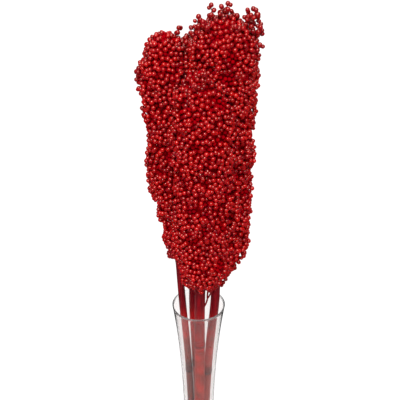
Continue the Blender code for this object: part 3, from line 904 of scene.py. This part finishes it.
# Painted light: the core gets a grain's red, much lighter than the twigs it stands for, so that the
# deepest gaps stay red.
CORE_PAINTED_LIGHT_TONE = 0.45
CORE_RINGS = 44
CORE_SIDES = 28
CLUMP_SIZE = 0.0095
CLUMP_HEIGHT = 0.0014
VALLEY_START = 0.18
VALLEY_REACH = 0.32
VALLEY_DEPTH = 0.0024
# Painted light and shade: a grain's tone rises with the height of its clump and falls in the valleys
# between clumps.
CLUMP_PAINTED_SHADING = 0.26
VALLEY_PAINTED_SHADE = 0.42
VALLEY_GAPS = 0.45
STRAY = 0.00055
FOOT_THINNING = 0.018
FOOT_GAPS = 1.8


def clump_noise(point):
    """How high the clumps stand at a point, in two sizes of bump."""
    place = Vector(point) / CLUMP_SIZE
    return noise.noise(place) + 0.5 * noise.noise(place * 2.3)


def outer_grains(name):
    """The grains that show. They stand in clumps, with sunken ones between the clumps. Their tone has
    painted light on the clumps and painted shade in the valleys.
    """
    plant = PLANTS[name]
    chance = np.random.default_rng(plant["seed"])
    run, angle = scatter(name, GRAIN_ROOM, plant["seed"])
    points, outward, depth, _ = stand(name, run, angle)
    count = len(points)
    points = points + chance.normal(0, STRAY, (count, 3))
    clumps = np.array([clump_noise(point) for point in points])
    valley = np.clip((-clumps - VALLEY_START) / VALLEY_REACH, 0, 1)
    sizes = GRAIN_RADIUS * chance.normal(*SIZES, count).clip(0.78, 1.18)
    lift = chance.uniform(*LIFTS, count)
    lift = lift + CLUMP_HEIGHT * np.clip(clumps, -0.5, 0.6) - VALLEY_DEPTH * valley
    raised = (chance.random(count) < RAISED_SHARE) & (valley < 0.3)
    lift += np.where(raised, chance.uniform(*RAISED_LIFTS, count), 0)
    hidden = depth > HIDDEN_DEPTH
    centres = points + outward * (lift - sizes)[:, None]
    # Painted light and shade: lighter tones on raised clumps, darker ones in the valleys.
    tones = chance.normal(*TONES, count) + CLUMP_PAINTED_SHADING * clumps - VALLEY_PAINTED_SHADE * valley
    foot = 1 - np.clip(run / FOOT_THINNING, 0, 1)
    shown = ~hidden & (chance.random(count) > np.maximum(VALLEY_GAPS * valley, FOOT_GAPS * foot))
    parts = []
    for chosen, detail in ((shown, 2), (hidden, 1)):
        if chosen.any():
            these = (values[chosen] for values in (centres, outward, sizes, tones))
            parts.append(grains_part(*these, detail, plant["seed"]))
    print(f"{name}: {int(shown.sum())} shown grains, {int(hidden.sum())} hidden")
    return parts


def under_grains(name):
    """Coarser grains just below, which fill the gaps."""
    seed = PLANTS[name]["seed"] + 500
    chance = np.random.default_rng(seed)
    run, angle = scatter(name, GRAIN_ROOM * 1.15, seed)
    points, outward, depth, _ = stand(name, run, angle, UNDER_SUNK)
    seen = (depth < HIDDEN_DEPTH + UNDER_SUNK) & (run > FOOT_THINNING)
    points, outward = points[seen], outward[seen]
    sizes = np.full(len(points), GRAIN_RADIUS * 0.98)
    # Painted shade: darker tones than the outer grains.
    tones = chance.normal(*UNDER_PAINTED_SHADE_TONES, len(points))
    return grains_part(points - outward * sizes[:, None], outward, sizes, tones, 1, seed, material="shade")


def core(name):
    """A rough closed body deep inside the head, with painted light in its colour."""
    heights, runs, _ = RUNS[name]
    run = np.linspace(FOOT_THINNING * 1.2, runs[-1] * 0.985, CORE_RINGS)
    angle = np.linspace(0, math.tau, CORE_SIDES, endpoint=False)
    grid_run, grid_angle = (g.ravel() for g in np.meshgrid(run, angle, indexing="ij"))
    points, _ = surface(name, np.interp(grid_run, runs, heights), grid_angle, CORE_SUNK)
    faces = ring_faces(CORE_RINGS, CORE_SIDES)
    faces.append(tuple(reversed(range(CORE_SIDES))))
    faces.append(tuple(range((CORE_RINGS - 1) * CORE_SIDES, CORE_RINGS * CORE_SIDES)))
    # Painted light: a lighter red than the twigs that the core stands for.
    return new_part(points, faces, "shade", tone=CORE_PAINTED_LIGHT_TONE)


# %% [markdown]
# ## Twigs and sprigs
#
# At the top of a head some branch ends stand out on their own, with a few grains along each.
# They make the loose outline that tells a real bunch from a moulded one. A curve object with a
# round bevel could be a twig, but it would have to be turned into a mesh in the end. So each is
# a thin bent tube of plain points, with grains on short stalks. The large ones stand at the
# sprigs of the frame, and smaller ones come between them.


# %% Sprigs
def bent(start, bend, tip, count):
    """Points on a curve from start to tip that passes through bend half way."""
    start, bend, tip = (np.asarray(p, float) for p in (start, bend, tip))
    pull = bend * 2 - (start + tip) / 2
    t = np.linspace(0, 1, count)[:, None]
    return start * (1 - t) ** 2 + pull * 2 * t * (1 - t) + tip * t**2


TWIG_RADIUS = 0.00040
STALK_RADIUS = 0.00026
GRAIN_STEP = 0.0023
STALK_LENGTHS = (0.35, 0.75)
END_STALK = 0.2
STALK_TURN = 2.4


def sprig_parts(start, bend, tip, chance, bare=0.35):
    """A bent twig with grains crowded to either side of it, beyond its bare foot."""
    path = bent(start, bend, tip, 13)[:-2]
    run = np.concatenate(([0], np.cumsum(np.linalg.norm(np.diff(path, axis=0), axis=1))))
    parts = [new_part(*tube(path, np.linspace(TWIG_RADIUS, STALK_RADIUS, len(path)), 5), "twig")]
    centres, axes = [], []
    places = np.arange(run[-1] * bare, run[-1], GRAIN_STEP)
    turn = chance.uniform(0, math.tau)
    for length in (*places, run[-1]):
        place, ahead, back = (
            np.array([np.interp(length + shift, run, path[:, c]) for c in range(3)])
            for shift in (0, 0.001, -0.001)
        )
        along = unit(ahead - back)
        side = unit(np.cross(along, (0.2, 0.9, 0.3)))
        turn += STALK_TURN + chance.uniform(-0.5, 0.5)
        side = side * math.cos(turn) + np.cross(along, side) * math.sin(turn)
        axis = along if length == run[-1] else unit(along * 0.6 + side)
        stalk = END_STALK if length == run[-1] else chance.uniform(*STALK_LENGTHS)
        stalk = place + axis * GRAIN_RADIUS * stalk
        parts.append(new_part(*tube([place, (place + stalk) / 2, stalk], STALK_RADIUS, 4), "twig"))
        centres.append(stalk + axis * GRAIN_RADIUS * 0.8)
        axes.append(axis)
    sizes = GRAIN_RADIUS * chance.normal(0.98, 0.07, len(centres))
    # Painted shade: the grains on every sprig, in the fans too, get a much darker tone than the grains on
    # the body of a head.
    tones = chance.normal(0.08, 0.12, len(centres))
    seed = int(chance.integers(1 << 30))
    parts.append(grains_part(np.array(centres), np.array(axes), sizes, tones, 2, seed, lean=0.1))
    return parts


def framed_sprigs(name):
    """The sprigs that the frame has too."""
    chance = np.random.default_rng(PLANTS[name]["seed"] + 900)
    return [part for bones in PLANTS[name]["sprigs"] for part in sprig_parts(*bones, chance)]


SMALL_SPRIGS = {"left": 2, "right": 22, "front": 8, "back": 12}
SMALL_LENGTHS = (0.0055, 0.0080)
SMALL_ROOT = 0.0045


def small_sprigs(name):
    """Short sprigs with two or three grains, mostly round the top of a head."""
    chance = np.random.default_rng(PLANTS[name]["seed"] + 1300)
    runs = RUNS[name][1]
    count = SMALL_SPRIGS[name] * 3
    run = runs[-1] * (1 - 0.5 * chance.random(count) ** 1.6)
    angle = chance.uniform(0, math.tau, count)
    points, outward, depth, up = stand(name, run, angle)
    parts = []
    for k in np.flatnonzero(depth < 0.0015)[: SMALL_SPRIGS[name]]:
        heading = unit(outward[k] * 0.8 + up[k] * 0.5 + (0, 0, 0.5) + chance.normal(0, 0.25, 3))
        length = chance.uniform(*SMALL_LENGTHS)
        start = points[k] - outward[k] * SMALL_ROOT
        tip = start + heading * length
        bend = (start + tip) / 2 + chance.normal(0, 0.0006, 3)
        parts += sprig_parts(start, bend, tip, chance, bare=0.6)
    return parts


print("sprigs of the frame:", {name: len(plant["sprigs"]) for name, plant in PLANTS.items()})

# %% [markdown]
# ## The fan at the foot of a head
#
# A head begins where its branches leave the stem, one above the other, and spread outward. A
# closed cone would be simpler, but seen from below it would give the head away as a solid lump.
# So every branch is a tube of its own, from inside the cane out to the lowest grains, and its
# outer half is a sprig that carries some of them.

# %% The fan of branches
FAN_BRANCHES = 26
FAN_FOOT = (-0.004, 0.007)
FAN_RUN = (0.006, 0.026)
FAN_SUNK = 0.0025
FAN_RADII = (0.00085, 0.0004)


def fan(name):
    """Branches that leave the stem below the head and carry its lowest grains."""
    plant = PLANTS[name]
    chance = np.random.default_rng(plant["seed"] + 1700)
    low = plant["head"][0][0]
    heights, runs, _ = RUNS[name]
    parts = []
    for k in range(FAN_BRANCHES):
        angle = math.tau * (k + chance.uniform(-0.3, 0.3)) / FAN_BRANCHES
        foot = low - chance.uniform(*FAN_FOOT)
        x, y, radius = (value[0] for value in curve_through(plant["stem"], np.array([foot])))
        out = np.array([math.cos(angle), math.sin(angle), 0])
        start = np.array([x, y, foot]) + out * radius * 0.85
        height = np.interp([chance.uniform(*FAN_RUN)], runs, heights)
        (end,), _ = surface(name, height, np.array([angle]), FAN_SUNK)
        middle = (start + end) / 2 + np.array([0, 0, 0.002]) - out * 0.001
        path = bent(start, middle, end, 8)
        parts.append(new_part(*tube(path, np.linspace(*FAN_RADII, 8), 6), "twig"))
        parts += sprig_parts(middle, (middle + end) / 2, end, chance, bare=0.5)
    return parts


print("branches in each fan:", FAN_BRANCHES)

# %% [markdown]
# ## A side shoot
#
# A small shoot leaves the front stem just under its head and forks. It is three bent tubes that
# share the point of the fork. Their ends run into the cane and into the grains, so that nothing
# has to be joined there.

# %% A side shoot on the front stem
SHOOT_RADIUS = 0.0008
SHOOT_FORK = (0.0082, -0.0150, 0.2480)
SHOOT_BONES = (
    ((0.0048, -0.0140, 0.2370), (0.0070, -0.0148, 0.2425), SHOOT_FORK),
    (SHOOT_FORK, (0.0082, -0.0150, 0.2530), (0.0090, -0.0150, 0.2600)),
    (SHOOT_FORK, (0.0106, -0.0146, 0.2525), (0.0128, -0.0140, 0.2590)),
)


def side_shoot():
    """A small branch that forks before it reaches the grains."""
    return [new_part(*tube(bent(*bones, 7), SHOOT_RADIUS, 6), "twig") for bones in SHOOT_BONES]


print("the shoot forks", round(1000 * SHOOT_FORK[2]), "mm up")

# %% [markdown]
# ## Four pieces
#
# A head grew as one thing, so its grains, twigs and core become one mesh, which takes the place
# of the plain head. Four meshes are also quicker to handle than thousands of small objects.

# %% Put the heads together
for name in PLANTS:
    parts = outer_grains(name) + [under_grains(name), core(name)]
    parts += framed_sprigs(name) + small_sprigs(name) + fan(name)
    if name == "front":
        parts += side_shoot()
    head = make_piece(f"grains_{name}", parts)
    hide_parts(f"head_{name}")

# %% [markdown]
# ## The stems
#
# A sorghum stem is a straight cane with a ring every few centimetres, where a leaf once grew.
# The leaves are stripped off and leave a dark scar on a slight swelling. The cane isn't quite
# round: a shallow groove runs up one side. A plain cylinder with a painted ring would look like a
# straw. So the swelling and the groove are made by moving the points of a finely ringed tube,
# and the fibres come from the material. The points also carry two numbers for it: how dark the
# scar is there, and how much painted light and glass haze the stem gets inside the vase, which is
# more on some stems than on others.

# %% Stems
STEM_SIDES = 28
STEM_RING = 0.0018
KNOT_SWELL = 0.10
KNOT_LENGTH = 0.0030
SCAR_BELOW = 0.0012
SCAR_LENGTH = 0.0011
SMUDGE = 0.45
SMUDGE_LENGTH = 0.004
GROOVE = 0.07
GROOVE_WIDTH = 0.4
# Painted light and glass haze in the vase: for each stem, the height where it starts and its most.
IN_VASE_PAINT_RUN = 0.075
IN_VASE_PAINT = {"left": (0.228, 1.0), "right": (0.226, 0.68), "front": (0.238, 0.50), "back": (0.224, 0.75)}


def make_stem(name):
    plant = PLANTS[name]
    low, high = plant["stem"][0][0], plant["head"][0][0] + 0.010
    chance = random.Random(plant["seed"] + 40)
    heights = np.linspace(low, high, int((high - low) / STEM_RING))
    x, y, radius = curve_through(plant["stem"], heights)
    swell, scar = np.zeros(len(heights)), np.zeros(len(heights))
    for knot in plant["knots"]:
        away = heights - knot
        swell += KNOT_SWELL * np.exp(-((away / KNOT_LENGTH) ** 2))
        scar += np.exp(-(((away + SCAR_BELOW) / SCAR_LENGTH) ** 2))
        scar += SMUDGE * np.exp(-(((away - SMUDGE_LENGTH) / SMUDGE_LENGTH) ** 2))
    side = np.linspace(0, math.tau, STEM_SIDES, endpoint=False)
    groove_at = chance.uniform(0, math.tau) + 0.002 * np.arange(len(heights))
    turn = np.angle(np.exp(1j * (side[None] - groove_at[:, None])))
    groove = GROOVE * np.exp(-((turn / GROOVE_WIDTH) ** 2))
    reach = radius[:, None] * (1 + swell[:, None] - groove)
    level = np.broadcast_to(heights[:, None], reach.shape)
    ring = np.stack((x[:, None] + reach * np.cos(side), y[:, None] + reach * np.sin(side), level), axis=2)
    knot = np.repeat(np.clip(scar, 0, 1), STEM_SIDES)
    # Painted light and glass haze: none above the top height, rising to the stem's most over the run below
    # it.
    paint_top, paint_most = IN_VASE_PAINT[name]
    painted_amount = np.repeat(paint_most * np.clip((paint_top - heights) / IN_VASE_PAINT_RUN, 0, 1), STEM_SIDES)
    faces = ring_faces(len(heights), STEM_SIDES)
    parts = [new_part(ring.reshape(-1, 3), faces, "stem", tone=painted_amount, knot=knot)]
    for cut, order in ((ring[0], -1), (ring[-1], 1)):
        parts.append(new_part(cut, [tuple(range(STEM_SIDES))[::order]], "pith"))
    stem = make_piece(f"cane_{name}", parts)
    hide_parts(f"stem_{name}")


for name in PLANTS:
    make_stem(name)

# %% [markdown]
# ## The vase
#
# A vase like this is blown and spun, so it is a turned shape: one outline, swept round. Glass
# bends light at both of its faces, so the outline runs down the inside, over a rounded rim and
# down the outside, as one closed skin. The rim needs several small steps. Where they are
# missing, smooth shading drags the rim's direction far down the wall, which then looks black.

# %% Vase
VASE_SIDES = 128
VASE_HEIGHT = 0.230
MOUTH_RADIUS = 0.0250
WAIST_RADIUS = 0.0123
FOOT_RADIUS = 0.0400
MOUTH_FLARE = 0.078
FOOT_FLARE = 0.016
GLASS_WALL = 0.0018
GLASS_LIP = 0.0011
LIP_TAPER = 0.03
GLASS_FLOOR = 0.0240
BOWL_RISE = 0.003
FOOT_EDGE = 0.0015
INNER_STEPS = 60
OUTER_STEPS = 90


def flared(height):
    """The radius of the waist, with the mouth opening above it."""
    mouth = (MOUTH_RADIUS - WAIST_RADIUS) * math.exp((height - VASE_HEIGHT) / MOUTH_FLARE)
    return WAIST_RADIUS + mouth


def outer_radius(height):
    return flared(height) + (FOOT_RADIUS - WAIST_RADIUS) * math.exp(-height / FOOT_FLARE)


def inner_radius(height):
    """The wall thins slowly to a fine lip."""
    thinned = (GLASS_WALL - GLASS_LIP) * math.exp((height - VASE_HEIGHT) / LIP_TAPER)
    return flared(height) - GLASS_WALL + thinned


def vase_outline():
    """(radius, height) from the middle of the inner floor to the middle of the underside."""
    outline = [(0.0, GLASS_FLOOR)]
    bowl = inner_radius(GLASS_FLOOR)
    for k in range(1, 7):
        turn = math.pi / 2 * k / 6
        outline.append((bowl * math.sin(turn) ** 0.8, GLASS_FLOOR + BOWL_RISE * (1 - math.cos(turn))))
    top = VASE_HEIGHT - GLASS_LIP * 0.2
    for height in np.linspace(GLASS_FLOOR + BOWL_RISE * 2, top, INNER_STEPS):
        outline.append((inner_radius(height), float(height)))
    centre = MOUTH_RADIUS - GLASS_LIP / 2
    for k in range(1, 8):
        turn = math.pi * (1 - k / 8)
        outline.append((centre + GLASS_LIP / 2 * math.cos(turn), top + GLASS_LIP * 0.45 * math.sin(turn)))
    for height in np.linspace(top, FOOT_EDGE * 2, OUTER_STEPS):
        outline.append((outer_radius(height), float(height)))
    edge = outer_radius(FOOT_EDGE * 2) - FOOT_EDGE
    for k in range(1, 6):
        turn = math.pi / 2 * k / 5
        outline.append((edge + FOOT_EDGE * math.cos(turn), FOOT_EDGE * 2 * (1 - math.sin(turn))))
    outline.append((0.0, 0.0))
    return outline


def turned(outline, sides):
    """Points and faces of an outline swept round the vertical axis, with both ends on it."""
    middle = outline[1:-1]
    angles = np.linspace(0, math.tau, sides, endpoint=False)
    points = [(r * math.cos(a), r * math.sin(a), z) for r, z in middle for a in angles]
    points += [(0, 0, outline[0][1]), (0, 0, outline[-1][1])]
    first, last, end = len(points) - 2, len(points) - 1, (len(middle) - 1) * sides
    faces = []
    for s in range(sides):
        after = (s + 1) % sides
        faces.append((first, s, after))
        faces.append((last, end + after, end + s))
    faces += [face[::-1] for face in ring_faces(len(middle), sides)]
    return points, faces


glass_points, glass_faces = turned(vase_outline(), VASE_SIDES)
at_rim = [float(point[2] > VASE_HEIGHT - GLASS_LIP * 0.3) for point in glass_points]
vase = make_piece("vase_glass", [new_part(glass_points, glass_faces, "glass", knot=at_rim)])
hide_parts("vase")
